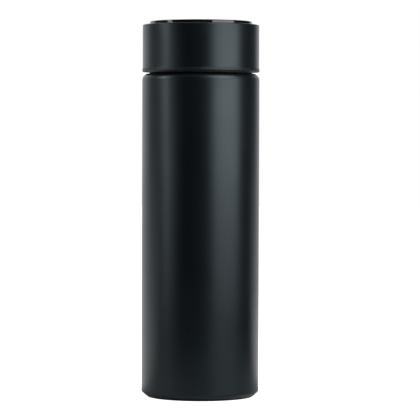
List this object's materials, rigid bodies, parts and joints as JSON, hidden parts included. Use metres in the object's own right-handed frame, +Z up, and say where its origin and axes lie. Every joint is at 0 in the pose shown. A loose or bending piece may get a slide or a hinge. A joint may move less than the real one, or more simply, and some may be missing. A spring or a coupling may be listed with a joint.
{
  "type": "vacuum flask",
  "caption": "Straight-sided double-walled vacuum flask with a screw lid, a sealed stopper with a temperature probe, and a glossy touch display on top.",
  "frame": {"origin": "centre of the foot ring's underside, on the flask's axis", "axes": "+Z up along the flask's axis, from the foot to the lid's top; +X towards the side of the lid where the sensor leads cross the deck; +Y is the top of the display's digits"},
  "size_m": [0.068, 0.068, 0.2174],
  "materials": {
    "body_paint": "satin black coating with a fine powder texture",
    "bare_steel": "satin bare stainless steel",
    "spring_steel": "thin plated spring sheet",
    "copper_foil": "bright copper foil",
    "black_plastic": "fine-grained black polypropylene",
    "lens_black": "polished black touch lens",
    "seal_silicone": "translucent grey food-grade silicone",
    "foot_rubber": "black rubber with a dry surface",
    "foam": "cellular foam",
    "board_green": "green solder mask",
    "chip_black": "moulded chip body",
    "display_smoke": "smoked display window",
    "tape_black": "double-sided foam tape",
    "seal_glass": "solder glass bead",
    "getter_grey": "sintered getter metal",
    "red_wire": "insulated wire",
    "black_wire": "insulated wire"
  },
  "bodies": {
    "flask": {"outer_shell": "body_paint", "inner_liner": "bare_steel", "base_disc": "bare_steel", "vacuum_seal_bead": "seal_glass", "getter_pellet": "getter_grey", "getter_strap": "spring_steel", "reflector_foil": "copper_foil", "base_cover": "black_plastic", "foot_ring": "foot_rubber"},
    "seal": {"seal_ring": "seal_silicone"},
    "lid": {"lid_shell": "body_paint", "lid_core": "black_plastic", "stopper": "black_plastic", "insulation_puck": "foam", "probe_cap": "bare_steel", "probe_o_ring": "foot_rubber", "probe_nut": "bare_steel", "thermistor_bead": "black_wire", "sensor_lead_1": "red_wire", "sensor_lead_2": "black_wire", "stopper_screw_1": "bare_steel", "stopper_screw_2": "bare_steel", "stopper_screw_3": "bare_steel", "electronics_tray": "black_plastic", "coin_cell": "bare_steel", "cell_contact": "spring_steel", "cell_clip": "spring_steel", "circuit_board": "board_green", "controller_chip": "chip_black", "display_module": "display_smoke", "touch_spring": "spring_steel", "lens_tape": "tape_black", "display_lens": "lens_black", "board_screw_1": "bare_steel", "board_screw_2": "bare_steel", "board_screw_3": "bare_steel"}
  },
  "joints": [
    {"name": "lid_lift", "type": "slide", "parent": "flask", "child": "seal", "axis": [0, 0, 1], "range_m": [0, 0.032]},
    {"name": "lid_turn", "type": "hinge", "parent": "seal", "child": "lid", "pos_m": [0, 0, 0.2], "axis": [0, 0, 1], "range_deg": [0, 2880]}
  ],
  "couplings": [
    {"joint": "lid_lift", "follows": "lid_turn", "m_per_rad": 0.0006366}
  ]
}
